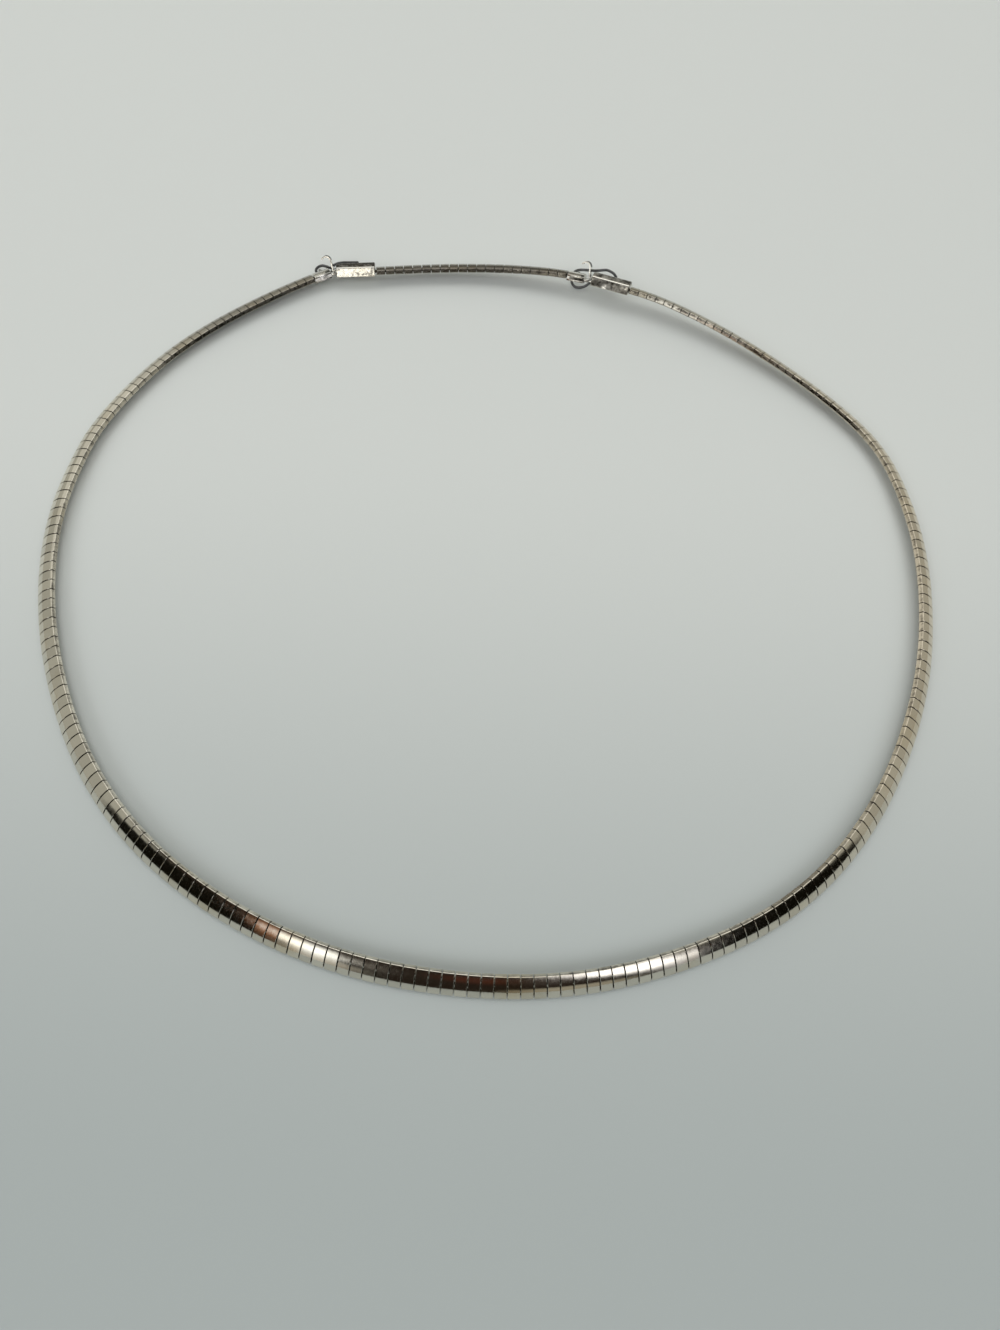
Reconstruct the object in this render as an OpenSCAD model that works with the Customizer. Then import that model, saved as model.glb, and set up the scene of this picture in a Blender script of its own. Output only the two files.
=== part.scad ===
/* [Band] */
// Width of the band across its domed face
band_w = 3.5; // [3:0.1:4.5]
// Height of the band from its flat back to the top of the dome
band_t = 1.25; // [1.1:0.05:1.5]
// Height of the straight side walls below the dome
side_h = 0.8; // [0.7:0.05:0.9]
// Length of one plate along the band
plate_len = 1.62; // [1.5:0.01:1.9]
// Open joint between two plates on the back of the band
joint_gap = 0.17; // [0.16:0.01:0.25]
// Thickness of the plates' sheet
sheet_t = 0.2; // [0.15:0.01:0.22]
// Width of the open seam along the back of the plates
seam_w = 0.5; // [0.3:0.1:1]
// Number of plates in the removable back length
extender_plates = 21; // [12:1:26]
/* [Woven core] */
// Width of the flat woven core that the plates are strung on
core_w = 2.6; // [2:0.02:2.8]
// Thickness of the woven core
core_t = 0.3; // [0.2:0.02:0.34]
// Gap under the core and between a chain end and its clasp
core_gap = 0.12; // [0.1:0.01:0.15]
// Length of core that runs into a clasp
core_tail = 0.7; // [0.4:0.1:0.9]
/* [Clasp box] */
// Length of each clasp box
box_len = 7.4; // [7:0.1:8]
// Width of each clasp box
box_w = 4.1; // [3.9:0.1:4.6]
// Height of the straight sides of the box
box_side = 1.7; // [1.5:0.05:1.9]
// Height of the box from its base to the top of its dome
box_h = 2.4; // [2.2:0.05:2.6]
// Depth of the box below the back of the band
box_drop = 0.3; // [0.2:0.05:0.3]
// Wall of the box
box_wall = 0.3; // [0.25:0.05:0.35]
// Thickness of the wall that closes the box at the chain
end_wall = 1.4; // [1.2:0.1:2]
/* [Clasp tongue] */
// Length of the end cap on the chain
cap_len = 3.3; // [2.8:0.1:4]
// Width of the end cap
cap_w = 3.7; // [3.65:0.05:3.8]
// Height of the straight sides of the end cap
cap_side = 1.1; // [1:0.05:1.2]
// Height of the end cap from its base to the top of its dome
cap_h = 1.55; // [1.5:0.05:1.7]
// Depth of the end cap below the back of the band
cap_drop = 0.25; // [0.15:0.05:0.3]
// Height of the groove along each side of the end cap
groove_h = 0.42; // [0.3:0.02:0.5]
// Depth of that groove
groove_d = 0.25; // [0.15:0.05:0.25]
// Length of the neck between the end cap and the box
neck_len = 1.5; // [1.2:0.1:2]
// Width of the folded spring tongue
tongue_w = 2.3; // [2:0.1:2.6]
// Thickness of the spring tongue
tongue_t = 0.26; // [0.22:0.02:0.3]
// Gap between the fold of the tongue and the closed end of the box
tongue_room = 0.3; // [0.2:0.1:1.5]
// Height of the tongue's fold inside the box
fold_h = 0.9; // [0.8:0.05:1]
// Width of the curled thumb lever
lever_w = 2; // [1.6:0.1:2.2]
// Height of the top of the thumb lever above the back of the band
lever_top = 3.55; // [3.4:0.05:3.8]
// Radius of the curl of the thumb lever, to the middle of its strip
curl_r = 0.88; // [0.75:0.01:1]
// Side clearance of the tongue and lever in the box
slide_gap = 0.15; // [0.12:0.01:0.2]
/* [Safety catches] */
// Radius of the safety catch wire
wire_r = 0.25; // [0.2:0.01:0.28]
// Distance of the catch's pivot from the mouth of the box
pivot_x = 4; // [3.8:0.1:4.4]
// Length of the knuckle tube that holds the catch
knuckle_len = 0.9; // [0.8:0.05:1]
// Height of the middle of the knuckle above the back of the band
knuckle_z = 1.15; // [1.1:0.05:1.2]
// Radial running clearance of the catch in its knuckle
pivot_gap = 0.04; // [0.03:0.01:0.05]
// Wall of the knuckle tube
knuckle_wall = 0.22; // [0.18:0.01:0.25]
// Gap between the catch wire and the side of the box
catch_gap = 0.13; // [0.12:0.01:0.2]
// Radius of the ball peg that each eye snaps over
peg_r = 0.3; // [0.26:0.01:0.34]
// Distance of the right ball peg from the mouth of its box
right_peg_x = 3.3; // [3.2:0.05:3.4]
// Height of the right ball peg above the back of the band
right_peg_z = 0.8; // [0.7:0.05:0.85]
// Distance of the left ball peg from the mouth of its box
left_peg_x = 3.5; // [3.4:0.05:3.6]
// Height of the left ball peg above the back of the band
left_peg_z = 0.75; // [0.7:0.01:0.8]
/* [Hidden] */
$fn = 48;
silver = "#c9c5ba";
bright_silver = "#dedace";
dark_mesh = "#4c4741";
steel_grey = "#8d8a84";
eps = 0.01;

// Route of the necklace as it lies, seen from above, from the left clasp down the left side.
// Columns: x and y of the point in mm, tilt of the dome's normal above the table in degrees,
// and lift off the table as a share of the clasp's lift.
route = [
    [-33.9, 62.15, 54, 0.34],
    [-33.8, 63.9, 58, 0.24],
    [-49.5, 52.9, 60, 0.06],
    [-62.5, 39.5, 59, 0],
    [-70, 24, 59, 0],
    [-71.5, 17.5, 59, 0],
    [-73, 5.5, 58, 0],
    [-71.5, -7, 57, 0],
    [-68, -19, 55, 0],
    [-63, -30, 54, 0],
    [-56.5, -40.5, 53, 0],
    [-48, -49.5, 52, 0],
    [-38, -56.5, 52, 0],
    [-26.5, -62, 52, 0],
    [-14.5, -65.5, 51, 0],
    [-2.5, -67, 50, 0],
    [10, -67, 49, 0],
    [22, -65, 47, 0],
    [33.5, -61, 46, 0],
    [44.5, -55.5, 45, 0],
    [54, -47.5, 45, 0],
    [61.5, -37.5, 46, 0],
    [67, -26.5, 47, 0],
    [71, -15, 48, 0],
    [73, -3, 48, 0],
    [73.5, 9.5, 49, 0],
    [71.5, 21.5, 50, 0],
    [68, 31.5, 51, 0],
    [56.5, 43, 49, 0.1],
    [43, 53, 47, 0.4],
    [28.5, 60.5, 49, 0.8],
    [19.5, 62.5, 54, 0.95],
    [12, 65, 55, 0.9],
    [0.5, 66.5, 58, 0.48],
    [-11.5, 66, 59, 0.32],
    [-21.5, 64.5, 58, 0.3],
    [-28.4, 63.1, 54, 0.34],
    [-30.55, 62.95, 53, 0.34]
];
X = 0;
Y = 1;
TILT = 2;
LIFT = 3;

// Smooth closed curve through the route, as a uniform cubic B-spline.
function wrap(k) = (k % len(route) + len(route)) % len(route);
function weight(f) = [pow(1 - f, 3), 3 * pow(f, 3) - 6 * f * f + 4,
                      -3 * pow(f, 3) + 3 * f * f + 3 * f + 1, pow(f, 3)] / 6;
function curve(u) =
    let (i = floor(u), w = weight(u - i))
    w[0] * route[wrap(i - 1)] + w[1] * route[wrap(i)] + w[2] * route[wrap(i + 1)]
    + w[3] * route[wrap(i + 2)];
function flat(p) = [p[X], p[Y]];

// Length along the curve against its parameter, in short steps.
steps = 24;
fine = [for (k = 0; k <= len(route) * steps; k = k + 1) flat(curve(k / steps))];
travel = [for (k = 0, sum = 0; k < len(fine);
               sum = sum + (k + 1 < len(fine) ? norm(fine[k + 1] - fine[k]) : 0), k = k + 1)
          [sum, k / steps]];
route_len = travel[len(travel) - 1][0];
function past(s) = s < 0 ? s + route_len : s >= route_len ? s - route_len : s;
function at(s) = curve(lookup(past(s), travel));

// The band stands on the lower back edge of its plates, and lifts near the clasps.
function rest_z(tilt) = band_w / 2 * cos(tilt);
function spot(s) = let (row = at(s)) [row[X], row[Y], rest_z(row[TILT]) + clasp_lift * row[LIFT]];

// Frame of a piece: x along the route, y across the band to its inner side, z out of the dome.
function posed(along, tilt, origin) =
    let (t = along / norm(along), level = [t[Y], -t[X], 0] / norm([t[X], t[Y]]),
         rise = cross(level, t),
         y = cos(tilt) * rise - sin(tilt) * level,
         z = cos(tilt) * level + sin(tilt) * rise)
    [[t[0], y[0], z[0], origin[0]],
     [t[1], y[1], z[1], origin[1]],
     [t[2], y[2], z[2], origin[2]],
     [0, 0, 0, 1]];
function frame(s) = posed(spot(s + plate_len / 2) - spot(s - plate_len / 2), at(s)[TILT], spot(s));

// A rigid clasp piece lies straight between two places, with its origin at one of them. The box
// cuts a bend of the route short, so its closed end lies further back along the route, by a little
// more than what the bend took off.
function straight(s0, s1, origin) = posed(spot(s1) - spot(s0), at((s0 + s1) / 2)[TILT], spot(origin));
bend_gain = 1.1;
function box_back(mouth) =
    let (reached = norm(flat(at(mouth)) - flat(at(mouth - box_len))))
    mouth - box_len - bend_gain * (box_len - reached);
function box_frame(mouth) = straight(box_back(mouth), mouth, mouth);
function cap_frame(mouth) = straight(mouth + neck_len, mouth + cap_reach, mouth + neck_len);

// A point of one frame in the whole, and a point of the whole in a frame.
function placed(f, p) = let (q = f * [p[0], p[1], p[2], 1]) [q[0], q[1], q[2]];
function inside(f, q) =
    let (d = q - [f[0][3], f[1][3], f[2][3]])
    [for (j = [0 : 2]) f[0][j] * d[0] + f[1][j] * d[1] + f[2][j] * d[2]];

// Where each piece lies along the route, from the mouth of the left box at zero.
pitch = plate_len + joint_gap;
end_gap = joint_gap + core_gap;
cap_reach = neck_len + cap_len;
extender_len = extender_plates * pitch - joint_gap;
left_box_start = box_back(route_len);
right_mouth = left_box_start - end_gap - extender_len - end_gap - cap_reach;
right_box_start = box_back(right_mouth);
extender_start = right_mouth + cap_reach + end_gap;
main_start = cap_reach + end_gap;
main_len = right_box_start - end_gap - main_start;
main_plates_n = round((main_len + joint_gap) / pitch);
main_pitch = (main_len + joint_gap) / main_plates_n;

// Safety catches lie beside their boxes. Each is one wire: a straight bar in the knuckle, an
// arch over the box and an eye round the ball peg. Its line runs from the bar's top to its foot.
// The bent part has a hexagon of the round wire's area for its section.
wire_sides = 6;
hexagon_r = wire_r * sqrt(PI / (wire_sides * sin(360 / wire_sides) / 2));
catch_y = -(box_w / 2 + catch_gap + wire_r);
bar_top = knuckle_z + knuckle_len / 2 + catch_gap + wire_r;
bar_foot = knuckle_z - knuckle_len / 2 - catch_gap - wire_r;
right_peg = [right_peg_x, right_peg_z];
left_peg = [left_peg_x, left_peg_z];
right_line = concat(
    [[-pivot_x, bar_top], [-pivot_x + 0.6, bar_top + 0.45], [-2.7, 2.65], [-1.8, 2.72],
     [-0.5, 2.32], [0.5, 2.04]],
    [for (p = [[-1.4, 1], [-0.1, 0.72], [0.85, 0.2], [1.3, -0.8], [1, -1.85], [0.3, -2.45],
               [-0.6, -2.5], [-1.6, -2.05], [-2.4, -1.3]]) right_peg + p],
    [[0.3, 0.6], [-0.5, 1.4], [-1.6, 1.15], [-2.8, bar_foot + 0.2], [-pivot_x, bar_foot]]);
left_line = concat(
    [[-pivot_x, bar_top], [-pivot_x + 0.7, bar_top], [-2.1, 2.02], [-1.2, 2.04],
     [-0.2, 1.92], [0.7, 1.6]],
    [for (p = [[-2.2, 0.38], [-1.45, 0.62], [-0.6, 0.85], [0.15, 0.68], [0.7, 0.25], [0.75, -0.25],
               [0.4, -0.6], [-0.4, -0.72], [-1.4, -0.6], [-2.2, -0.32]]) left_peg + p],
    [[0.5, 0.85], [-1, 0.62], [-2.6, bar_foot + 0.1], [-pivot_x, bar_foot]]);

// The right catch's eye stands on the table and lifts the clasp.
stand_clear = 0.08;
right_tilt = at(right_mouth - box_len / 2)[TILT];
eye_low = min([for (p = right_line) p[Y]]) - hexagon_r;
clasp_lift = (stand_clear - rest_z(right_tilt) - catch_y * cos(right_tilt)
              - eye_low * sin(right_tilt)) / at(right_mouth)[LIFT];

// Radius of a dome of width w that rises by h.
function dome_r(w, h) = (w * w / 4 + h * h) / (2 * h);

// Section of a domed strip: width along x, dome upwards, straight sides, flat base at zero.
module domed(w, side, h) {
    r = dome_r(w, h - side);
    intersection() {
        translate([0, h - r]) circle(r);
        translate([-w / 2, 0]) square([w, h]);
    }
}

// Runs a section, drawn with y and z, along x from x0 over a length.
module along(x0, length) {
    translate([x0, 0, 0]) rotate([90, 0, 90]) linear_extrude(length) children();
}

// Runs a side view, drawn with x and z, across the band over a width.
module across(width) {
    translate([0, width / 2, 0]) rotate([90, 0, 0]) linear_extrude(width) children();
}

// One plate: a strip of sheet bent into a dome, with its edges folded in at the back.
module plate() {
    inner_r = dome_r(band_w, band_t - side_h) - sheet_t;
    along(-plate_len / 2, plate_len) difference() {
        domed(band_w, side_h, band_t);
        intersection() {
            translate([0, band_t - sheet_t - inner_r]) circle(inner_r);
            translate([-band_w / 2 + sheet_t, sheet_t]) square([band_w - 2 * sheet_t, band_t]);
        }
        translate([-seam_w / 2, -sheet_t]) square([seam_w, 3 * sheet_t]);
    }
}
module plates(start, count, spacing) {
    for (k = [0 : count - 1]) multmatrix(frame(start + plate_len / 2 + k * spacing)) plate();
}

// The woven core, swept as one flat strip with a bend at every joint between plates.
core_z = sheet_t + core_gap;
corners = [[-core_w / 2, core_z], [core_w / 2, core_z],
           [core_w / 2, core_z + core_t], [-core_w / 2, core_z + core_t]];
module core(places) {
    n = len(corners);
    far = (len(places) - 1) * n;
    points = [for (s = places) let (f = frame(s)) for (c = corners) placed(f, [0, c[X], c[Y]])];
    sides = [for (k = [0 : len(places) - 2]) for (j = [0 : n - 1])
             [k * n + j, (k + 1) * n + j, (k + 1) * n + (j + 1) % n, k * n + (j + 1) % n]];
    near_end = [for (j = [0 : n - 1]) j];
    far_end = [for (j = [n - 1 : -1 : 0]) far + j];
    polyhedron(points, concat(sides, [near_end], [far_end]), convexity = 6);
}
function core_places(start, count, spacing) =
    let (stop = start + (count - 1) * spacing + plate_len)
    concat([start - end_gap - core_tail, start - end_gap],
           [for (k = [1 : count - 1]) start - joint_gap / 2 + k * spacing],
           [stop + end_gap, stop + end_gap + core_tail]);

module main_plates() {
    color(silver) plates(main_start, main_plates_n, main_pitch);
}
module main_core() {
    color(dark_mesh) core(core_places(main_start, main_plates_n, main_pitch));
}
module extender_plates() {
    color(silver) plates(extender_start, extender_plates, pitch);
}
module extender_core() {
    color(dark_mesh) core(core_places(extender_start, extender_plates, pitch));
}

// Pocket for the end of the core, cut along x into a clasp piece.
slack = 0.2;
module core_pocket(x0, length) {
    w = core_w + 2 * core_gap;
    along(x0, length) translate([-w / 2, core_z - core_gap]) square([w, core_t + 2 * core_gap]);
}

// Clasp box, with its mouth at x = 0, the chain at -box_len and a slot for the tongue.
floor_z = box_wall - box_drop;
tongue_z = floor_z + slide_gap;
module clasp_box() {
    room = box_len - end_wall - box_wall;
    slot_w = tongue_w + 2 * slide_gap;
    difference() {
        union() {
            translate([0, 0, -box_drop]) along(-box_len, box_len) domed(box_w, box_side, box_h);
            knuckle();
        }
        translate([0, 0, floor_z]) along(end_wall - box_len, room)
            domed(box_w - 2 * box_wall, box_side - box_wall, box_h - 2 * box_wall);
        translate([0, 0, floor_z]) along(-2 * box_wall, 3 * box_wall)
            translate([-slot_w / 2, 0]) square([slot_w, fold_h + 2 * slide_gap]);
        core_pocket(-box_len - eps, core_tail + slack);
        translate([-pivot_x, catch_y, knuckle_z - knuckle_len])
            cylinder(r = wire_r + pivot_gap, h = 2 * knuckle_len);
    }
}

// Knuckle tube soldered to the outer side of the box, standing along the dome's normal.
module knuckle() {
    outer = wire_r + pivot_gap + knuckle_wall;
    low = knuckle_z - knuckle_len / 2;
    foot_top = min(knuckle_len, box_side - box_drop - low);
    translate([-pivot_x, catch_y, low]) cylinder(r = outer, h = knuckle_len);
    translate([-pivot_x - outer, catch_y, low])
        cube([2 * outer, -catch_y - box_w / 2 + box_wall / 2, foot_top]);
}

// Side views of the folded spring tongue and of its curled thumb lever.
tongue_lap = 1;
lever_lean = 11;
curl_end = 25;
curl_x = 1.85;
curl_z = lever_top - curl_r - tongue_t / 2;
fold_top = tongue_z + fold_h;
stem_top = [curl_x - curl_r * cos(lever_lean), curl_z + curl_r * sin(lever_lean)];
stem_len = (stem_top[Y] - fold_top + tongue_t / 2) / cos(lever_lean);
stem_x = stem_top[X] - stem_len * sin(lever_lean);
module fold_view() {
    outer = fold_h / 2;
    bend_x = end_wall + tongue_room + outer - box_len;
    translate([bend_x, tongue_z]) square([tongue_lap - bend_x, tongue_t]);
    translate([bend_x, fold_top - tongue_t]) square([stem_x - bend_x, tongue_t]);
    translate([bend_x, tongue_z + outer]) difference() {
        circle(outer);
        circle(outer - tongue_t);
        translate([0, -fold_h]) square(2 * fold_h);
    }
}
module lever_view() {
    far = 3 * curl_r;
    translate(stem_top) rotate(-lever_lean)
        translate([-tongue_t / 2, -stem_len]) square([tongue_t, stem_len + eps]);
    translate([stem_x, fold_top - tongue_t / 2]) circle(tongue_t / 2);
    translate([curl_x, curl_z]) difference() {
        circle(curl_r + tongue_t / 2);
        circle(curl_r - tongue_t / 2);
        polygon([[0, 0], far * [cos(curl_end), sin(curl_end)], [far, -far], [-far, -far],
                 far * [-cos(lever_lean), sin(lever_lean)]]);
    }
}

// The tongue in the box, and the neck, end cap and ball peg that turn with the chain.
module clasp_tongue(mouth, peg) {
    multmatrix(box_frame(mouth)) {
        across(tongue_w) fold_view();
        across(lever_w) lever_view();
    }
    multmatrix(cap_frame(mouth)) {
        end_cap();
        ball_peg(inside(cap_frame(mouth), placed(box_frame(mouth), [peg[X], catch_y, peg[Y]])));
    }
}
neck_skin = 0.1;
module end_cap() {
    groove_z = (cap_side - groove_h) / 2 - cap_drop;
    neck_x = tongue_lap / 2 - neck_len;
    difference() {
        translate([0, 0, -cap_drop]) along(0, cap_len) domed(cap_w, cap_side, cap_h);
        for (side = [-1, 1])
            along(-eps, cap_len + 2 * eps)
                translate([side * cap_w / 2 - groove_d, groove_z]) square([2 * groove_d, groove_h]);
        core_pocket(cap_len - core_tail - slack, core_tail + slack + eps);
    }
    translate([0, 0, tongue_z - neck_skin]) along(neck_x, neck_skin - neck_x)
        translate([-tongue_w / 2 - neck_skin, 0])
        square([tongue_w + 2 * neck_skin, tongue_t + 2 * neck_skin]);
}
module ball_peg(ball) {
    root_y = groove_d - cap_w / 2 + neck_skin;
    translate([ball[0], root_y, ball[2]]) rotate([90, 0, 0])
        cylinder(r = peg_r / 2, h = root_y - ball[1]);
    translate(ball) sphere(peg_r);
}

// A round wire bent in one plane, with x and z taken from a line of points that it runs through.
rings_per_point = 2;
function pass(f) = [-f + 2 * f * f - pow(f, 3), 2 - 5 * f * f + 3 * pow(f, 3),
                    f + 4 * f * f - 3 * pow(f, 3), pow(f, 3) - f * f] / 2;
function with_ends(v) =
    concat([2 * v[0] - v[1]], v, [2 * v[len(v) - 1] - v[len(v) - 2]]);
function through(v, u) =
    let (i = min(floor(u), len(v) - 4), w = pass(u - i))
    w[0] * v[i] + w[1] * v[i + 1] + w[2] * v[i + 2] + w[3] * v[i + 3];
module bent_wire(line) {
    end_ring = (len(line) - 1) * rings_per_point;
    path = [for (k = [0 : end_ring]) through(with_ends(line), k / rings_per_point)];
    rings = [for (k = [0 : end_ring])
             let (d = path[min(k + 1, end_ring)] - path[max(k - 1, 0)], t = d / norm(d))
             for (j = [0 : wire_sides - 1])
             let (a = 360 * j / wire_sides, out = hexagon_r * cos(a))
             [path[k][X] - t[Y] * out, hexagon_r * sin(a), path[k][Y] + t[X] * out]];
    sides = [for (k = [0 : end_ring - 1]) for (j = [0 : wire_sides - 1])
             let (n = wire_sides, next = (j + 1) % n)
             [k * n + j, k * n + next, (k + 1) * n + next, (k + 1) * n + j]];
    near_cap = [for (j = [wire_sides - 1 : -1 : 0]) j];
    far_cap = [for (j = [0 : wire_sides - 1]) end_ring * wire_sides + j];
    polyhedron(rings, concat(sides, [near_cap], [far_cap]), convexity = 8);
}
module round_bar(length) {
    rotate_extrude() intersection() {
        union() {
            square([wire_r, length]);
            for (z = [0, length]) translate([0, z]) circle(wire_r);
        }
        translate([0, -wire_r]) square([wire_r, length + 2 * wire_r]);
    }
}
module safety_catch(mouth, line) {
    multmatrix(box_frame(mouth)) translate([0, catch_y, 0]) {
        bent_wire(line);
        translate([-pivot_x, 0, bar_foot]) round_bar(bar_top - bar_foot);
    }
}

module right_box() {
    color(bright_silver) multmatrix(box_frame(right_mouth)) clasp_box();
}
module left_box() {
    color(bright_silver) multmatrix(box_frame(route_len)) clasp_box();
}
module right_tongue() {
    color(bright_silver) clasp_tongue(right_mouth, right_peg);
}
module left_tongue() {
    color(bright_silver) clasp_tongue(0, left_peg);
}
module right_catch() {
    color(steel_grey) safety_catch(right_mouth, right_line);
}
module left_catch() {
    color(steel_grey) safety_catch(route_len, left_line);
}

main_plates();
main_core();
extender_plates();
extender_core();
right_box();
left_box();
right_tongue();
left_tongue();
right_catch();
left_catch();
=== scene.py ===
import math

import bmesh
import bpy
import numpy
from mathutils import Matrix, Vector


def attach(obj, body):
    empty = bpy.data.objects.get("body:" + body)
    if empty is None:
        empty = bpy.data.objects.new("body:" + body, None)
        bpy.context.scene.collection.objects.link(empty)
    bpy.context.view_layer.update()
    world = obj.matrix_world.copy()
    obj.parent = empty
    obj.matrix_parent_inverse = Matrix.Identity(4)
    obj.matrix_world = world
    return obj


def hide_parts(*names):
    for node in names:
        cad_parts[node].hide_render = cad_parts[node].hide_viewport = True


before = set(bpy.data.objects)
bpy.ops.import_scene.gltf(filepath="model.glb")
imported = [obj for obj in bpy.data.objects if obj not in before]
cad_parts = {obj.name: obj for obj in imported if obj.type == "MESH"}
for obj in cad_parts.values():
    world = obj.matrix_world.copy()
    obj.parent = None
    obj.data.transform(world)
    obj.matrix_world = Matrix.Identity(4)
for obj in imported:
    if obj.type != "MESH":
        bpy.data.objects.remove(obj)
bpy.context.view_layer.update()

# Band plates. Each is a strip of thin silver sheet, pressed into a dome and folded round the core,
# with its cut edges filed off. They stand edge to edge, so every joint shows as a fine dark line.
# The dome and the side walls are polished like a mirror, and tarnish sits where they meet.
MM = 0.001
plate_width = 3.5 * MM
plate_height = 1.25 * MM
plate_side = 0.8 * MM
plate_length = 1.66 * MM
sheet = 0.2 * MM
seam = 0.5 * MM
edge_break = 0.04 * MM
corner_round = 0.16 * MM
shoulder_round = 0.14 * MM
wall_middle = 0.55 * MM
fold_room = 0.05 * MM
plate_crease = math.radians(38)
plate_unevenness = math.radians(0.4)
dome_steps = 3
shoulder_steps = 2
corner_steps = 1
# Tarnish along the plate's section, from 0, clean, to 1, brown-black. The outer side of the loop is
# handled more and keeps only a share of it.
shoulder_tarnish = 0.5
wall_tarnish = 0.55
corner_tarnish = 0.2
back_tarnish = 0.8
inside_tarnish = 1.0
joint_tarnish = 0.45
outer_side_share = 0.4
# Plates near the clasps are worn dull. The wear fades out over so many plates from each end.
worn_left = 24
worn_right = 30
left_wear = 1.4
left_wear_most = 0.8
right_wear = 0.6
extender_wear = 0.85


def linear(hex_colour):
    """An sRGB hex colour as linear red, green, blue and full alpha."""
    channels = [int(hex_colour[k:k + 2], 16) / 255 for k in (1, 3, 5)]
    return [c / 12.92 if c <= 0.04045 else ((c + 0.055) / 1.055) ** 2.4 for c in channels] + [1.0]


def add(tree, kind, inputs=(), **settings):
    """Adds a node. Inputs is a dict of socket name or number to a value or to another node's output."""
    made = tree.nodes.new(kind)
    for name, value in settings.items():
        setattr(made, name, value)
    for name, value in dict(inputs).items():
        socket = made.inputs[name]
        if isinstance(value, bpy.types.NodeSocket):
            tree.links.new(value, socket)
        else:
            socket.default_value = value
    return made


def merged_copy(cad):
    """A joined copy of a CAD node's loose triangles, as a bmesh."""
    bm = bmesh.new()
    bm.from_mesh(cad.data)
    bmesh.ops.remove_doubles(bm, verts=bm.verts, dist=0.001 * MM)
    return bm


def solids(bm):
    """The faces of each separate solid."""
    groups, seen = [], set()
    bm.faces.ensure_lookup_table()
    for first in bm.faces:
        if first in seen:
            continue
        seen.add(first)
        stack, group = [first], []
        while stack:
            face = stack.pop()
            group.append(face)
            for edge in face.edges:
                for other in edge.link_faces:
                    if other not in seen:
                        seen.add(other)
                        stack.append(other)
        groups.append(group)
    return groups


def resting_frame(faces, toward):
    """Frame of a domed piece: x along the band, z out of the dome, origin in the middle of its back.
    The faces of such a piece look mostly along z and least along x, which gives both directions."""
    spread = numpy.zeros((3, 3))
    for face in faces:
        spread += face.calc_area() * numpy.outer(face.normal, face.normal)
    directions = numpy.linalg.eigh(spread)[1]
    x, z = Vector(directions[:, 0]), Vector(directions[:, 2])
    z = z if z.z > 0 else -z
    x = x if x.dot(toward) > 0 else -x
    y = z.cross(x)
    points = [v.co for v in {v for face in faces for v in face.verts}]
    middle = [(min(a.dot(p) for p in points) + max(a.dot(p) for p in points)) / 2 for a in (x, y)]
    low = min(z.dot(p) for p in points)
    place = Matrix.Translation(x * middle[0] + y * middle[1] + z * low)
    return place @ Matrix((x, y, z)).transposed().to_4x4()


def chain_frames(node_name, start_angle):
    """Frames of a chain's plates, in order along the band, counter-clockwise from an angle."""
    bm = merged_copy(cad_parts[node_name])
    groups = solids(bm)
    centres = []
    for group in groups:
        corners = [v.co for face in group for v in face.verts]
        centres.append(sum(corners, Vector()) / len(corners))
    angles = [math.degrees(math.atan2(centre.y, centre.x)) for centre in centres]
    order = sorted(range(len(groups)), key=lambda k: (angles[k] - start_angle) % 360)
    frames = []
    for place, k in enumerate(order):
        ahead = centres[order[min(place + 1, len(order) - 1)]]
        behind = centres[order[max(place - 1, 0)]]
        frames.append(resting_frame(groups[k], ahead - behind))
    bm.free()
    return frames


def arc(cy, cz, radius, start, stop, count):
    """Points of an arc round (cy, cz), from one angle to another in degrees."""
    angles = [math.radians(start + (stop - start) * k / count) for k in range(count + 1)]
    return [(cy + radius * math.cos(a), cz + radius * math.sin(a)) for a in angles]


def plate_outline():
    """Right half of the plate's section, from the dome's top to the seam, as (y, z, tarnish)."""
    sag = plate_height - plate_side
    dome = (plate_width ** 2 / 4 + sag ** 2) / (2 * sag)
    half = plate_width / 2
    dome_z = plate_height - dome
    shoulder_y = half - shoulder_round
    rise = math.sqrt((dome - shoulder_round) ** 2 - shoulder_y ** 2)
    meet = math.degrees(math.atan2(rise, shoulder_y))
    top = arc(0, dome_z, dome, 90, meet, dome_steps)
    shoulder = arc(shoulder_y, dome_z + rise, shoulder_round, meet, 0, shoulder_steps)[1:]
    corner = arc(half - corner_round, corner_round, corner_round, 0, -90, corner_steps)
    return ([(y, z, 0.0) for y, z in top]
            + [(y, z, shoulder_tarnish) for y, z in shoulder]
            + [(half, wall_middle, wall_tarnish)]
            + [(y, z, corner_tarnish) for y, z in corner]
            + [(seam / 2, 0.0, back_tarnish)])


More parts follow.
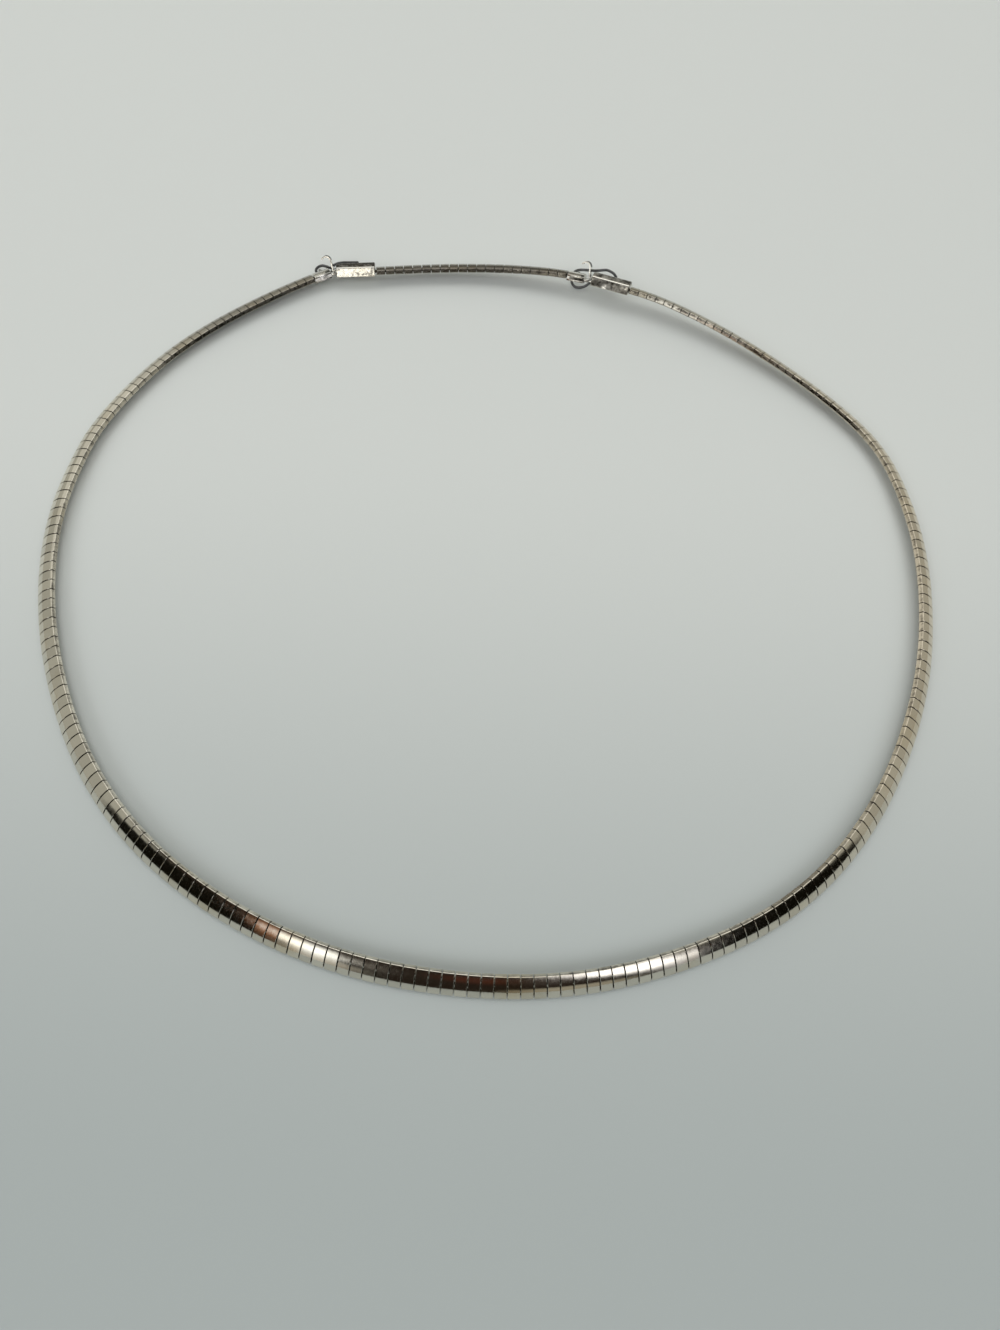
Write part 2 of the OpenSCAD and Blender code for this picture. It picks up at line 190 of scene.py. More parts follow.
def plate_mesh():
    """One plate in its own frame, closed, with broken edges at both ends."""
    outer = plate_outline()
    inner_half = plate_width / 2 - sheet
    inner = [(seam / 2, sheet), (inner_half, sheet), (inner_half, plate_side - fold_room),
             (0.0, plate_height - sheet)]
    right = outer + [(y, z, inside_tarnish) for y, z in inner]
    left = [(-y, z, outer_side_share * t) for y, z, t in reversed(right[1:-1])]
    outline = right + left
    bm = bmesh.new()
    tarnish_and_dark_reflection = bm.verts.layers.float.new("tarnish")
    centre_z = plate_height * 0.45
    end = plate_length / 2
    rings = []
    for x, inset in ((-end, edge_break), (-end + edge_break, 0), (end - edge_break, 0), (end, edge_break)):
        ring = []
        for k, (y, z, tarnish) in enumerate(outline):
            is_outer = k < len(outer) or k > len(outline) - len(outer)
            shrink = inset if is_outer else 0
            out = Vector((0, y / (plate_width / 2), (z - centre_z) / (plate_height / 2)))
            out = out.normalized() * shrink
            v = bm.verts.new((x, y - out.y, z - out.z))
            v[tarnish_and_dark_reflection] = min(1.0, tarnish + (joint_tarnish if shrink else 0))
            ring.append(v)
        rings.append(ring)
    count = len(outline)
    for a, b in zip(rings, rings[1:]):
        for k in range(count):
            after = (k + 1) % count
            face = bm.faces.new((a[k], a[after], b[after], b[k]))
            face.smooth = True
    bm.faces.new(rings[0])
    bm.faces.new(rings[-1])
    bm.normal_update()
    bmesh.ops.recalc_face_normals(bm, faces=bm.faces)
    for edge in bm.edges:
        if len(edge.link_faces) == 2 and edge.calc_face_angle(0) > plate_crease:
            edge.smooth = False
    mesh = bpy.data.meshes.new("plate")
    bm.to_mesh(mesh)
    bm.free()
    return mesh


# Sizes of the marks on the silver, where its blush starts and is full to the right of the loop's
# middle, and how far specks, streaks, dirt and wear change it.
blotch_size = 9 * MM
speck_size = 0.5 * MM
streak_size = 1.4 * MM
dent_size = 2.4 * MM
dent_depth = 0.05 * MM
scratch_size = 0.18 * MM
scratch_depth = 0.012 * MM
blush_colour = "#E4D2B8"
blush_starts = 30 * MM
blush_full = 75 * MM
speck_bite = 0.6
streak_bite = 1.2
tarnish_border = -0.88
wear_specks = 0.6
wear_even = 0.4
dirt_roughness = 0.45
wear_roughness = 0.12
polish_spread = 0.1


def silver_material(name, bright, warm, dark, polish):
    """Sterling silver, worn and lightly tarnished: mirror-like where it is rubbed, duller and yellower in
    soft blotches a few millimetres across, and brown-black where dirt stays in creases. The same
    brown-black, set by the tarnish attribute, also paints a dark reflection on the clasp boxes' domes and
    the right box's inner face. Polish is the roughness of its cleanest places."""
    material = bpy.data.materials.new(name)
    material.use_nodes = True
    tree = material.node_tree
    tree.nodes.clear()
    coords = add(tree, "ShaderNodeTexCoord")
    surface = coords.outputs["Object"]
    blotches = add(tree, "ShaderNodeTexNoise",
                   {"Vector": surface, "Scale": 1 / blotch_size, "Detail": 4.0, "Roughness": 0.6})
    specks = add(tree, "ShaderNodeTexNoise",
                 {"Vector": surface, "Scale": 1 / speck_size, "Detail": 5.0, "Roughness": 0.7})
    streaks = add(tree, "ShaderNodeTexNoise",
                  {"Vector": surface, "Scale": 1 / streak_size, "Detail": 2.0, "Roughness": 0.7})
    scratches = add(tree, "ShaderNodeTexNoise",
                    {"Vector": surface, "Scale": 1 / scratch_size, "Detail": 2.0})
    dents = add(tree, "ShaderNodeTexNoise",
                {"Vector": surface, "Scale": 1 / dent_size, "Detail": 2.0})
    tarnish_and_dark_reflection = add(tree, "ShaderNodeAttribute", attribute_name="tarnish")
    wear = add(tree, "ShaderNodeAttribute", attribute_name="wear")
    tone = add(tree, "ShaderNodeAttribute", attribute_name="plate_tone")

    warm_mask = add(tree, "ShaderNodeMapRange",
                    {"Value": blotches.outputs["Fac"], "From Min": 0.5, "From Max": 0.75, "To Max": 0.7})
    clean = add(tree, "ShaderNodeMix",
                {"Factor": warm_mask.outputs["Result"], "A": linear(bright), "B": linear(warm)},
                data_type="RGBA")
    place = add(tree, "ShaderNodeSeparateXYZ", {"Vector": surface})
    blush = add(tree, "ShaderNodeMapRange",
                {"Value": place.outputs["X"], "From Min": blush_starts, "From Max": blush_full,
                 "To Max": 0.5})
    blushed = add(tree, "ShaderNodeMix",
                  {"Factor": blush.outputs["Result"], "A": clean.outputs["Result"],
                   "B": linear(blush_colour)},
                  data_type="RGBA")
    patchy = add(tree, "ShaderNodeMath", {0: specks.outputs["Fac"], 1: wear_specks, 2: wear_even},
                 operation="MULTIPLY_ADD")
    wear_mask = add(tree, "ShaderNodeMath", {0: wear.outputs["Fac"], 1: patchy.outputs[0]},
                    operation="MULTIPLY")
    dulled = add(tree, "ShaderNodeMix",
                 {"Factor": wear_mask.outputs[0], "A": blushed.outputs["Result"], "B": linear(dark)},
                 data_type="RGBA")
    speckled = add(tree, "ShaderNodeMath", {0: specks.outputs["Fac"], 1: speck_bite, 2: tarnish_border},
                   operation="MULTIPLY_ADD")
    streaked = add(tree, "ShaderNodeMath",
                   {0: streaks.outputs["Fac"], 1: streak_bite, 2: speckled.outputs[0]},
                   operation="MULTIPLY_ADD")
    # The tarnish attribute: real tarnish on the plates, and on the clasp boxes partly a painted dark
    # reflection.
    tarnish_and_reflection_level = add(tree, "ShaderNodeMath", {0: tarnish_and_dark_reflection.outputs["Fac"], 1: streaked.outputs[0]},
                     operation="ADD")
    tarnish_and_reflection_mask = add(tree, "ShaderNodeMapRange",
                    {"Value": tarnish_and_reflection_level.outputs[0], "From Min": 0.38, "From Max": 0.95, "To Max": 0.92})
    stained_and_shaded = add(tree, "ShaderNodeMix",
                  {"Factor": tarnish_and_reflection_mask.outputs["Result"], "A": dulled.outputs["Result"], "B": linear(dark)},
                  data_type="RGBA")
    tone_gain = add(tree, "ShaderNodeMapRange",
                    {"Value": tone.outputs["Fac"], "To Min": 0.9, "To Max": 1.04})
    colour = add(tree, "ShaderNodeVectorMath",
                 {0: stained_and_shaded.outputs["Result"], "Scale": tone_gain.outputs["Result"]}, operation="SCALE")

    dull = add(tree, "ShaderNodeMapRange",
               {"Value": specks.outputs["Fac"], "From Min": 0.35, "From Max": 0.8,
                "To Min": polish, "To Max": polish + polish_spread})
    duller = add(tree, "ShaderNodeMath",
                 {0: tarnish_and_reflection_mask.outputs["Result"], 1: dirt_roughness, 2: dull.outputs["Result"]},
                 operation="MULTIPLY_ADD")
    dullest = add(tree, "ShaderNodeMath",
                  {0: wear.outputs["Fac"], 1: wear_roughness, 2: duller.outputs[0]},
                  operation="MULTIPLY_ADD")
    dented = add(tree, "ShaderNodeBump",
                 {"Height": dents.outputs["Fac"], "Strength": 0.25, "Distance": dent_depth})
    scratched = add(tree, "ShaderNodeBump",
                    {"Height": scratches.outputs["Fac"], "Strength": 0.12, "Distance": scratch_depth,
                     "Normal": dented.outputs["Normal"]})
    shader = add(tree, "ShaderNodeBsdfPrincipled",
                 {"Base Color": colour.outputs["Vector"], "Metallic": 1.0,
                  "Roughness": dullest.outputs[0], "Normal": scratched.outputs["Normal"]})
    add(tree, "ShaderNodeOutputMaterial", {"Surface": shader.outputs["BSDF"]})
    return material


def plates_tree():
    """Sets one plate at every point, turned as the point says and a little uneven."""
    tree = bpy.data.node_groups.new("plates along the band", "GeometryNodeTree")
    tree.interface.new_socket("Points", in_out="INPUT", socket_type="NodeSocketGeometry")
    plate = tree.interface.new_socket("Plate", in_out="INPUT", socket_type="NodeSocketObject")
    uneven = tree.interface.new_socket("Unevenness", in_out="INPUT", socket_type="NodeSocketFloat")
    seed = tree.interface.new_socket("Seed", in_out="INPUT", socket_type="NodeSocketInt")
    finish = tree.interface.new_socket("Finish", in_out="INPUT", socket_type="NodeSocketMaterial")
    tree.interface.new_socket("Plates", in_out="OUTPUT", socket_type="NodeSocketGeometry")
    given = add(tree, "NodeGroupInput")
    turn = add(tree, "GeometryNodeInputNamedAttribute", {"Name": "turn"}, data_type="QUATERNION")
    source = add(tree, "GeometryNodeObjectInfo", {"Object": given.outputs["Plate"]})
    placed = add(tree, "GeometryNodeInstanceOnPoints",
                 {"Points": given.outputs["Points"], "Instance": source.outputs["Geometry"],
                  "Rotation": turn.outputs["Attribute"]})
    least = add(tree, "ShaderNodeMath", {0: given.outputs["Unevenness"], 1: -1.0}, operation="MULTIPLY")
    low = add(tree, "ShaderNodeCombineXYZ", {k: least.outputs[0] for k in range(3)})
    high = add(tree, "ShaderNodeCombineXYZ", {k: given.outputs["Unevenness"] for k in range(3)})
    wobble = add(tree, "FunctionNodeRandomValue",
                 {0: low.outputs[0], 1: high.outputs[0], "Seed": given.outputs["Seed"]},
                 data_type="FLOAT_VECTOR")
    spin = add(tree, "FunctionNodeEulerToRotation", {"Euler": wobble.outputs[0]})
    turned = add(tree, "GeometryNodeRotateInstances",
                 {"Instances": placed.outputs["Instances"], "Rotation": spin.outputs["Rotation"]})
    tone = add(tree, "FunctionNodeRandomValue", {"Seed": given.outputs["Seed"]}, data_type="FLOAT")
    toned = add(tree, "GeometryNodeStoreNamedAttribute",
                {"Geometry": turned.outputs["Instances"], "Name": "plate_tone", "Value": tone.outputs[1]},
                data_type="FLOAT", domain="INSTANCE")
    real = add(tree, "GeometryNodeRealizeInstances", {"Geometry": toned.outputs["Geometry"]})
    dressed = add(tree, "GeometryNodeSetMaterial",
                  {"Geometry": real.outputs["Geometry"], "Material": given.outputs["Finish"]})
    add(tree, "NodeGroupOutput", {"Plates": dressed.outputs["Geometry"]})
    return tree, {"Plate": plate, "Unevenness": uneven, "Seed": seed, "Finish": finish}


def finished(name, source, body, replaced):
    """The evaluated object as one plain mesh, riding on its body in place of its CAD node."""
    bpy.context.view_layer.update()
    evaluated = source.evaluated_get(bpy.context.evaluated_depsgraph_get())
    mesh = bpy.data.meshes.new_from_object(evaluated)
    piece = bpy.data.objects.new(name, mesh)
    bpy.context.scene.collection.objects.link(piece)
    bpy.data.objects.remove(source)
    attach(piece, body)
    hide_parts(replaced)
    return piece


band_silver = silver_material("aged_silver_plate", "#E3DDCF", "#D6C5A2", "#2B2420", 0.08)
plate_pattern = bpy.data.objects.new("plate_pattern", plate_mesh())
stringing, stringing_inputs = plates_tree()
plate_frames = {}
for chain, start_angle, seed in (("main_plates", 100, 3), ("extender_plates", 60, 8)):
    frames = chain_frames(chain, start_angle)
    plate_frames[chain] = frames
    points = bpy.data.meshes.new(chain + "_points")
    points.from_pydata([f.translation for f in frames], [], [])
    turn = points.attributes.new("turn", "QUATERNION", "POINT")
    for k, f in enumerate(frames):
        turn.data[k].value = f.to_quaternion()
    wear = points.attributes.new("wear", "FLOAT", "POINT")
    for k in range(len(frames)):
        from_left = left_wear * (1 - k / worn_left)
        from_right = right_wear * (1 - (len(frames) - 1 - k) / worn_right)
        near_clasp = max(min(from_left, left_wear_most), from_right, 0)
        wear.data[k].value = extender_wear if chain == "extender_plates" else near_clasp
    strung = bpy.data.objects.new(chain + "_strung", points)
    bpy.context.scene.collection.objects.link(strung)
    modifier = strung.modifiers.new("plates", "NODES")
    modifier.node_group = stringing
    modifier[stringing_inputs["Plate"].identifier] = plate_pattern
    modifier[stringing_inputs["Unevenness"].identifier] = plate_unevenness
    modifier[stringing_inputs["Seed"].identifier] = seed
    modifier[stringing_inputs["Finish"].identifier] = band_silver
    strung.modifiers.new("flat faces, round edges", "WEIGHTED_NORMAL").keep_sharp = True
    finished("band_" + chain, strung, "necklace", chain)
bpy.data.objects.remove(plate_pattern)

# Woven core. A flat tube braided of fine wire that every plate is folded round. It carries the
# necklace's spring and shows as a dark mesh in the joints, along the seam at the back and where it
# runs into the clasps.
braid_width = 2.5 * MM
braid_height = 0.2 * MM
braid_z = 0.47 * MM
braid_turn = 5.2 * MM
braid_wires = 6
braid_wire = 0.085 * MM
braid_step = 0.5 * MM
wire_sides = 4
weave_share = 0.25
flatness = 3
core_reach = 1.0 * MM
wire_patch = 1.5 * MM


def braid_material():
    """Fine silver wire that was never polished: grey-brown, dull, darker in patches."""
    material = bpy.data.materials.new("tarnished_wire_mesh")
    material.use_nodes = True
    tree = material.node_tree
    tree.nodes.clear()
    coords = add(tree, "ShaderNodeTexCoord")
    patches = add(tree, "ShaderNodeTexNoise",
                  {"Vector": coords.outputs["Object"], "Scale": 1 / wire_patch, "Detail": 3.0})
    colour = add(tree, "ShaderNodeMix",
                 {"Factor": patches.outputs["Fac"], "A": linear("#3B342C"), "B": linear("#7A6F60")},
                 data_type="RGBA")
    shader = add(tree, "ShaderNodeBsdfPrincipled",
                 {"Base Color": colour.outputs["Result"], "Metallic": 1.0, "Roughness": 0.42})
    add(tree, "ShaderNodeOutputMaterial", {"Surface": shader.outputs["BSDF"]})
    return material


def braid_tree():
    """Runs a round wire along every strand."""
    tree = bpy.data.node_groups.new("braided wires", "GeometryNodeTree")
    tree.interface.new_socket("Strands", in_out="INPUT", socket_type="NodeSocketGeometry")
    thick = tree.interface.new_socket("Wire radius", in_out="INPUT", socket_type="NodeSocketFloat")
    finish = tree.interface.new_socket("Finish", in_out="INPUT", socket_type="NodeSocketMaterial")
    tree.interface.new_socket("Braid", in_out="OUTPUT", socket_type="NodeSocketGeometry")
    given = add(tree, "NodeGroupInput")
    lines = add(tree, "GeometryNodeMeshToCurve", {"Mesh": given.outputs["Strands"]})
    section = add(tree, "GeometryNodeCurvePrimitiveCircle",
                  {"Resolution": wire_sides, "Radius": given.outputs["Wire radius"]}, mode="RADIUS")
    wires = add(tree, "GeometryNodeCurveToMesh",
                {"Curve": lines.outputs["Curve"], "Profile Curve": section.outputs["Curve"],
                 "Fill Caps": True})
    real = add(tree, "GeometryNodeRealizeInstances", {"Geometry": wires.outputs["Mesh"]})
    dressed = add(tree, "GeometryNodeSetMaterial",
                  {"Geometry": real.outputs["Geometry"], "Material": given.outputs["Finish"]})
    add(tree, "NodeGroupOutput", {"Braid": dressed.outputs["Geometry"]})
    return tree, {"Wire radius": thick, "Finish": finish}


def core_line(frames):
    """Places along the core, as (point, across, out), from one end's tail to the other's."""
    places = [(f.translation, f.col[1].xyz, f.col[2].xyz) for f in frames]
    first, last = frames[0], frames[-1]
    reach = plate_length / 2 + core_reach
    places.insert(0, (first.translation - first.col[0].xyz * reach, first.col[1].xyz, first.col[2].xyz))
    places.append((last.translation + last.col[0].xyz * reach, last.col[1].xyz, last.col[2].xyz))
    return places


def strand_points(places, phase, hand):
    """One wire of the braid: it winds round the flat core and waves over and under the others."""
    points, travelled = [], 0.0
    for (p0, y0, z0), (p1, y1, z1) in zip(places, places[1:]):
        length = (p1 - p0).length
        steps = max(1, round(length / braid_step))
        for k in range(steps):
            t = k / steps
            angle = hand * 2 * math.pi * (travelled + t * length) / braid_turn + phase
            across = braid_width / 2 * (2 / math.pi) * math.asin(math.cos(angle))
            lift = braid_height / 2 * math.tanh(flatness * math.sin(angle))
            weave = weave_share * braid_wire * hand * math.cos(angle * braid_wires)
            y, z = y0.lerp(y1, t), z0.lerp(z1, t)
            points.append(p0.lerp(p1, t) + y * across + z * (braid_z + lift + weave))
        travelled += length
    return points


wire_mesh = braid_material()
braiding, braiding_inputs = braid_tree()
for chain, core in (("main_plates", "main_core"), ("extender_plates", "extender_core")):
    places = core_line(plate_frames[chain])
    vertices, edges = [], []
    for hand in (1, -1):
        for k in range(braid_wires):
            strand = strand_points(places, 2 * math.pi * (k + 0.25 * hand) / braid_wires, hand)
            edges += [(len(vertices) + i, len(vertices) + i + 1) for i in range(len(strand) - 1)]
            vertices += strand
    strands = bpy.data.meshes.new(core + "_strands")
    strands.from_pydata(vertices, edges, [])
    braid = bpy.data.objects.new(core + "_braid", strands)
    bpy.context.scene.collection.objects.link(braid)
    modifier = braid.modifiers.new("wires", "NODES")
    modifier.node_group = braiding
    modifier[braiding_inputs["Wire radius"].identifier] = braid_wire
    modifier[braiding_inputs["Finish"].identifier] = wire_mesh
    finished("woven_" + core, braid, "necklace", core)

# Clasp boxes and tongues. Stamped and soldered from silver sheet, then tumbled, so that every edge is
# rounded. The boxes stay bright on the sides that rub against the skin, and tarnish has crept over them in
# blotches. Their domes and the right box's inner face are coloured darker, partly by tarnish and partly as
# a painted dark reflection. The tongue is one strip, folded into a spring and curled up as a lever.
sharp_angle = math.radians(28)
flat_angle = math.radians(0.5)
short_edge = 0.3 * MM
box_edge = 0.13 * MM
tongue_edge = 0.07 * MM
edge_steps = 3
flat_depth = 0.01 * MM
box_side_height = 1.7 * MM
box_drop = 0.3 * MM
box_rest_tarnish = 0.5
cap_starts = 1.3 * MM
cap_top = 1.6 * MM
cap_tarnish = 0.4
groove_near = 0.15 * MM
groove_far = 0.325 * MM
groove_darkness = 1.1
lever_foot = 1.35 * MM
lever_tarnish = 0.3
tongue_tarnish = 0.45
clasp_silver = silver_material("aged_silver_clasp", "#F1EEE6", "#CFC3A8", "#2A241D", 0.13)
lever_silver = silver_material("dull_lever_silver", "#5E6361", "#5A4A3C", "#2E271F", 0.42)


def eased(node_name, edge_radius):
    """A copy of a CAD node with its long sharp edges rounded."""
    bm = merged_copy(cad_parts[node_name])
    bmesh.ops.dissolve_limit(bm, angle_limit=flat_angle, verts=bm.verts, edges=bm.edges)
    edges = [e for e in bm.edges if len(e.link_faces) == 2 and e.is_convex
             and e.calc_face_angle() > sharp_angle and e.calc_length() > short_edge]
    bmesh.ops.bevel(bm, geom=edges, offset=edge_radius, offset_type="OFFSET", segments=edge_steps,
                    profile=0.5, affect="EDGES", clamp_overlap=False)
    return bm


def clasp_piece(bm, new_name, replaced, materials):
    """The rounded copy, evenly shaded, as a piece of the necklace."""
    for face in bm.faces:
        face.smooth = True
    for edge in bm.edges:
        if len(edge.link_faces) == 2 and edge.calc_face_angle(0) > sharp_angle:
            edge.smooth = False
    mesh = bpy.data.meshes.new(new_name)
    bm.to_mesh(mesh)
    bm.free()
    for material in materials:
        mesh.materials.append(material)
    source = bpy.data.objects.new(new_name + "_source", mesh)
    bpy.context.scene.collection.objects.link(source)
    source.modifiers.new("even shading", "WEIGHTED_NORMAL").keep_sharp = True
    finished(new_name, source, "necklace", replaced)


toward_mouth = Vector((-1, 0, 0))
# Tarnish levels of each box's dome and inner face. The dark domes and the right box's dark inner face are
# partly tarnish and partly a painted dark reflection.
for side, dome_tarnish_and_dark_reflection, face_tarnish_and_dark_reflection in (("right", 0.8, 0.72), ("left", 0.92, 0.3)):
    bm = eased(side + "_box", box_edge)
    inward = resting_frame(bm.faces, toward_mouth).inverted()
    tarnish_and_dark_reflection = bm.verts.layers.float.new("tarnish")
    places = {v: inward @ v.co for v in bm.verts}
    base = min(p.z for p in places.values())
    inner_side = max(p.y for p in places.values())
    mouth = max(p.x for p in places.values())
    for v, p in places.items():
        depth = inner_side - p.y
        if flat_depth < depth < box_edge:
            v[tarnish_and_dark_reflection] = 0.0
        elif depth < box_edge:
            v[tarnish_and_dark_reflection] = face_tarnish_and_dark_reflection
        elif p.z > base + box_side_height:
            v[tarnish_and_dark_reflection] = dome_tarnish_and_dark_reflection
        else:
            v[tarnish_and_dark_reflection] = box_rest_tarnish
    clasp_piece(bm, side + "_clasp_box", side + "_box", [clasp_silver])

    bm = eased(side + "_tongue", tongue_edge)
    tarnish_and_dark_reflection = bm.verts.layers.float.new("tarnish")
    floor_z = base + box_drop
    places = {v: inward @ v.co for v in bm.verts}
    cap_faces = [f for f in bm.faces if all(places[v].x > mouth + cap_starts
                                            and places[v].z < floor_z + cap_top for v in f.verts)]
    in_cap = {v for f in cap_faces for v in f.verts}
    cap_inward = resting_frame(cap_faces, toward_mouth).inverted()
    from_middle = {v: abs((cap_inward @ v.co).y) for v in in_cap}
    half_cap = max((cap_inward @ v.co).y for v in in_cap)
    in_lever = {v for v in bm.verts if places[v].z > floor_z + lever_foot and v not in in_cap}
    for v in bm.verts:
        if v in in_cap:
            # The groove along each side of the cap is coloured nearly black.
            in_groove = half_cap - groove_far < from_middle[v] < half_cap - groove_near
            v[tarnish_and_dark_reflection] = groove_darkness if in_groove else cap_tarnish
        else:
            v[tarnish_and_dark_reflection] = lever_tarnish if v in in_lever else tongue_tarnish
    for face in bm.faces:
        if all(v in in_lever for v in face.verts):
            face.material_index = 1
    clasp_piece(bm, side + "_clasp_tongue", side + "_tongue", [clasp_silver, lever_silver])

# Safety catches. Each is a single drawn wire bent to a figure of eight: a bar that turns in the
# knuckle on the box, an arch along the box and an eye that snaps over the ball peg on the end cap.
catch_patch = 1.2 * MM
skin_step = 0.045 * MM
skin_rounds = 14


def wire_material():
    """Hard drawn steel wire, grey and half dull, a little browned in patches."""
    material = bpy.data.materials.new("drawn_catch_wire")
    material.use_nodes = True
    tree = material.node_tree
    tree.nodes.clear()
    coords = add(tree, "ShaderNodeTexCoord")
    patches = add(tree, "ShaderNodeTexNoise",
                  {"Vector": coords.outputs["Object"], "Scale": 1 / catch_patch, "Detail": 4.0})
    colour = add(tree, "ShaderNodeMix",
                 {"Factor": patches.outputs["Fac"], "A": linear("#83868A"), "B": linear("#4B4843")},
                 data_type="RGBA")
    rough = add(tree, "ShaderNodeMapRange",
                {"Value": patches.outputs["Fac"], "To Min": 0.2, "To Max": 0.42})
    shader = add(tree, "ShaderNodeBsdfPrincipled",
                 {"Base Color": colour.outputs["Result"], "Metallic": 1.0,
                  "Roughness": rough.outputs["Result"]})
    add(tree, "ShaderNodeOutputMaterial", {"Surface": shader.outputs["BSDF"]})
    return material


catch_wire = wire_material()
for side in ("right", "left"):
    bm = merged_copy(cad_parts[side + "_catch"])
    mesh = bpy.data.meshes.new(side + "_safety_catch")
    bm.to_mesh(mesh)
    bm.free()
    mesh.materials.append(catch_wire)
    source = bpy.data.objects.new(side + "_safety_catch_source", mesh)
    bpy.context.scene.collection.objects.link(source)
    remesh = source.modifiers.new("one skin", "REMESH")
    remesh.mode = "VOXEL"
    remesh.voxel_size = skin_step
    smooth = source.modifiers.new("drawn round", "SMOOTH")
    smooth.iterations = skin_rounds
    smooth.factor = 0.5
    catch = finished(side + "_safety_catch", source, side + "_safety", side + "_catch")
    for face in catch.data.polygons:
        face.use_smooth = True

# Room. The polished band mirrors it: pale at the back and the sides, dark in its front half between
# two bright openings. Each patch is a soft oval, placed in plan by x and y of the direction from the
# necklace, with the horizon at 1 and the zenith at 0.
pale_room = (0.415, 0.416, 0.372)
deep_shade = (0.004, 0.0035, 0.002)
brown_shade = (0.02, 0.014, 0.01)
room_patches = [
    # x, y, half width, half depth, turn in degrees, softness, light
    (0.00, 0.22, 0.62, 0.52, 0, 0.5, (1.9, 1.93, 1.93)),
    (-0.10, 0.97, 0.36, 0.22, 0, 0.3, (0.13, 0.12, 0.10)),
    (-0.04, -0.80, 0.74, 0.50, -3, 0.04, brown_shade),
    (-0.42, -0.30, 0.20, 0.32, 30, 0.15, brown_shade),
    (-0.70, -0.80, 0.47, 0.61, 0, 0.03, deep_shade),
    (0.82, -0.75, 0.42, 0.60, 0, 0.03, deep_shade),
    (-0.465, -0.52, 0.06, 0.42, -20, 0.4, (0.42, 0.19, 0.09)),
    (-0.26, -0.62, 0.10, 0.34, 0, 0.4, (0.10, 0.09, 0.08)),
    (-0.42, -0.88, 0.18, 0.12, -25, 0.4, (0.45, 0.43, 0.38)),
    (-0.39, -0.62, 0.13, 0.34, -10, 0.4, (1.9, 1.95, 1.95)),
    (0.00, -0.62, 0.13, 0.27, 0, 0.5, (0.07, 0.022, 0.012)),
    (0.17, -0.60, 0.10, 0.36, 0, 0.4, (0.06, 0.05, 0.045)),
    (0.40, -0.58, 0.19, 0.32, 8, 0.45, (0.25, 0.24, 0.22)),
    (0.36, -0.58, 0.15, 0.42, 42, 0.4, (2.4, 2.4, 2.5)),
    (0.28, -0.95, 0.28, 0.07, 15, 0.3, (0.33, 0.31, 0.25)),
]
any_height = 1e6
backdrop = "#C9CECB"

world = bpy.data.worlds.new("room")
bpy.context.scene.world = world
world.use_nodes = True
tree = world.node_tree
tree.nodes.clear()
coords = add(tree, "ShaderNodeTexCoord")
light = (*pale_room, 1)
for x, y, half_width, half_depth, turn, soft, colour in room_patches:
    placed = add(tree, "ShaderNodeMapping",
                 {"Vector": coords.outputs["Generated"], "Location": (x, y, 0),
                  "Rotation": (0, 0, math.radians(turn)), "Scale": (half_width, half_depth, any_height)},
                 vector_type="TEXTURE")
    inward = add(tree, "ShaderNodeTexGradient", {"Vector": placed.outputs["Vector"]},
                 gradient_type="SPHERICAL")
    mask = add(tree, "ShaderNodeMapRange", {"Value": inward.outputs["Fac"], "From Max": 2 * soft},
               interpolation_type="SMOOTHSTEP")
    mixed = add(tree, "ShaderNodeMix",
                {"Factor": mask.outputs["Result"], "A": light, "B": (*colour, 1)}, data_type="RGBA")
    light = mixed.outputs["Result"]
lit = add(tree, "ShaderNodeBackground", {"Color": light, "Strength": 1.0})
plain = add(tree, "ShaderNodeBackground", {"Color": linear(backdrop), "Strength": 1.0})
seen = add(tree, "ShaderNodeLightPath")
both = add(tree, "ShaderNodeMixShader",
           {0: seen.outputs["Is Camera Ray"], 1: lit.outputs[0], 2: plain.outputs[0]})
add(tree, "ShaderNodeOutputWorld", {"Surface": both.outputs[0]})

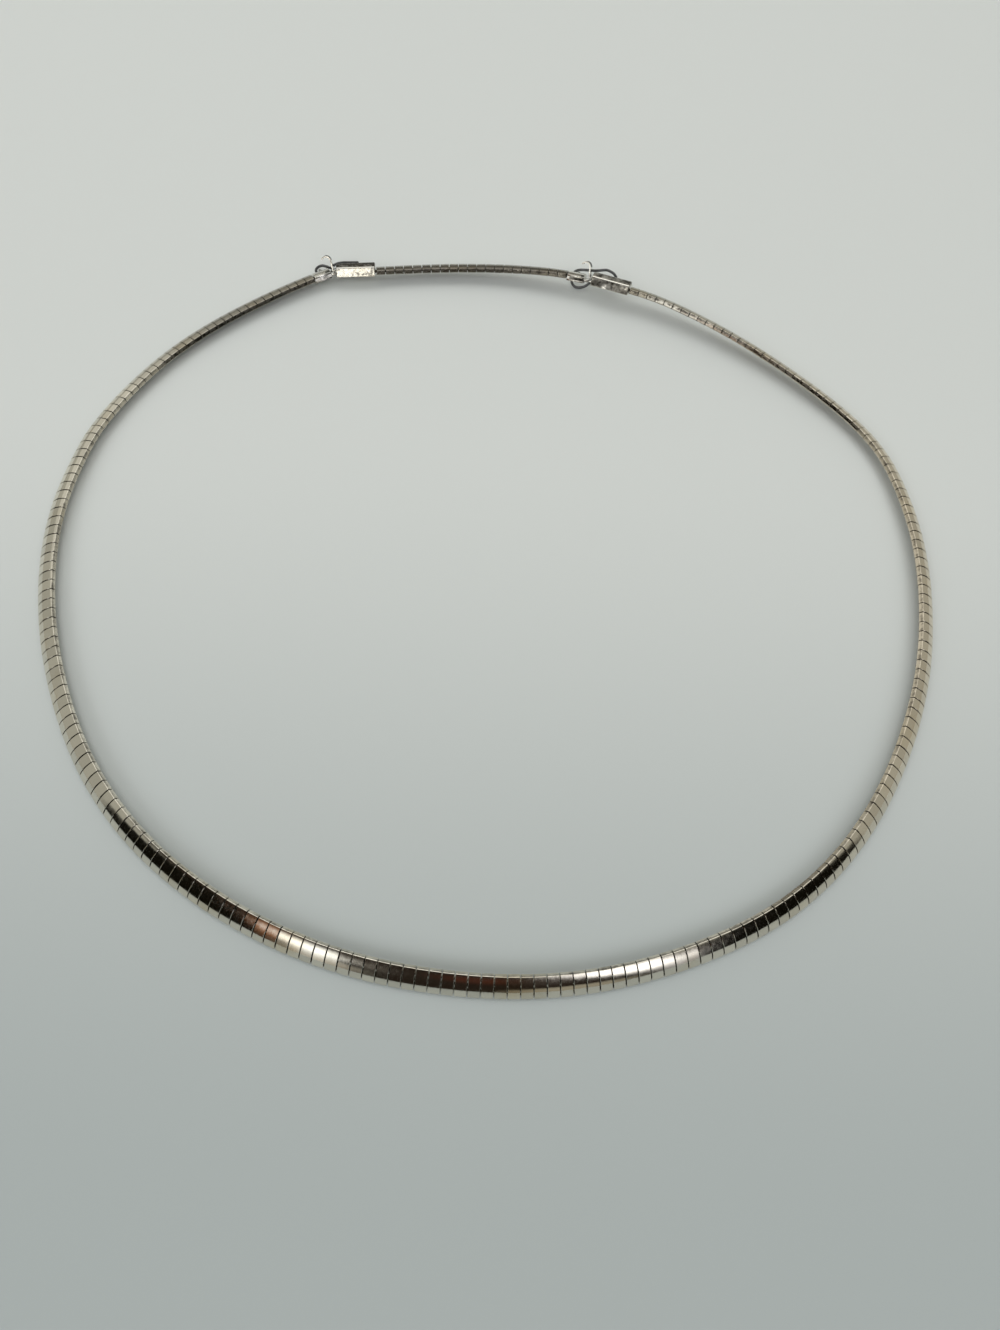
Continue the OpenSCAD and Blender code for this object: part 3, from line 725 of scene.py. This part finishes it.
# Lamps. A soft window close behind the necklace, two broad fills from the front, and a small card
# that only the left clasp box mirrors.
lamps = [
    # name, place, what it faces, width and height, power, colour, mirrored by metal, lights the table
    ("window", (-0.05, 0.2, 0.22), (0, 0, 0), (0.56, 0.4), 0.155, (1.0, 0.985, 0.95), True, True),
    ("fill", (-1.04, -1.16, 1.26), (0, 0, 0), (1.8, 1.0), 8.5, (0.93, 0.98, 1.0), False, True),
    ("bounce", (0.75, -1.1, 1.5), (0, 0, 0), (1.8, 1.2), 5.5, (0.97, 1.0, 0.98), False, True),
    ("card", (-0.0222, -0.049, 0.071), (-0.0295, 0.0618, 0.0034), (0.024, 0.012), 0.0022,
     (1.0, 0.98, 0.9), True, False),
]
for name, place, faces, (width, height), power, colour, mirrored, lights in lamps:
    lamp = bpy.data.lights.new(name, "AREA")
    lamp.shape = "RECTANGLE"
    lamp.size = width
    lamp.size_y = height
    lamp.energy = power
    lamp.color = colour
    hung = bpy.data.objects.new(name, lamp)
    hung.visible_camera = False
    hung.visible_glossy = mirrored
    hung.visible_diffuse = lights
    bpy.context.scene.collection.objects.link(hung)
    away = Vector(place) - Vector(faces)
    hung.matrix_world = Matrix.Translation(place) @ away.to_track_quat("Z", "Y").to_matrix().to_4x4()

# Table. A pale painted board, matt. Its colour is mixed darker in front of the necklace than behind it:
# painted shade for the light falling off away from the window lamp behind.
floor_size = 3.0
painted_shade_full = -0.1
painted_shade_gone = 0.03

bm = bmesh.new()
bmesh.ops.create_grid(bm, x_segments=1, y_segments=1, size=floor_size / 2)
mesh = bpy.data.meshes.new("table_top")
bm.to_mesh(mesh)
bm.free()
board = bpy.data.materials.new("pale_board_with_painted_falloff")
board.use_nodes = True
tree = board.node_tree
tree.nodes.clear()
coords = add(tree, "ShaderNodeTexCoord")
place = add(tree, "ShaderNodeSeparateXYZ", {"Vector": coords.outputs["Object"]})
# Painted shade: the board's colour runs from the darker tone at the front to the paler tone at the back.
depth = add(tree, "ShaderNodeMapRange",
            {"Value": place.outputs["Y"], "From Min": painted_shade_full, "From Max": painted_shade_gone},
            interpolation_type="SMOOTHSTEP")
board_paint_and_shade = add(tree, "ShaderNodeMix",
            {"Factor": depth.outputs["Result"], "A": linear("#BAC1C1"), "B": linear("#E3E6E4")},
            data_type="RGBA")
shader = add(tree, "ShaderNodeBsdfPrincipled",
             {"Base Color": board_paint_and_shade.outputs["Result"], "Roughness": 0.6, "Specular IOR Level": 0.3})
add(tree, "ShaderNodeOutputMaterial", {"Surface": shader.outputs["BSDF"]})
mesh.materials.append(board)
floor = bpy.data.objects.new("table_top", mesh)
bpy.context.scene.collection.objects.link(floor)
bpy.context.scene.view_settings.view_transform = "Standard"

# Camera, held over the front of the necklace and looking down at it.
photo_width = 1000
focal_pixels = 924
camera_place = (0.0035, -0.0815, 0.1333)
camera_down = 64.65
camera_roll = 3.85

camera_data = bpy.data.cameras.new("camera")
camera_data.sensor_fit = "HORIZONTAL"
camera_data.sensor_width = 36
camera_data.lens = camera_data.sensor_width * focal_pixels / photo_width
camera_data.clip_start = 0.005
camera = bpy.data.objects.new("camera", camera_data)
bpy.context.scene.collection.objects.link(camera)
camera.matrix_world = (Matrix.Translation(camera_place)
                       @ Matrix.Rotation(math.radians(90 - camera_down), 4, "X")
                       @ Matrix.Rotation(math.radians(camera_roll), 4, "Z"))
bpy.context.scene.camera = camera
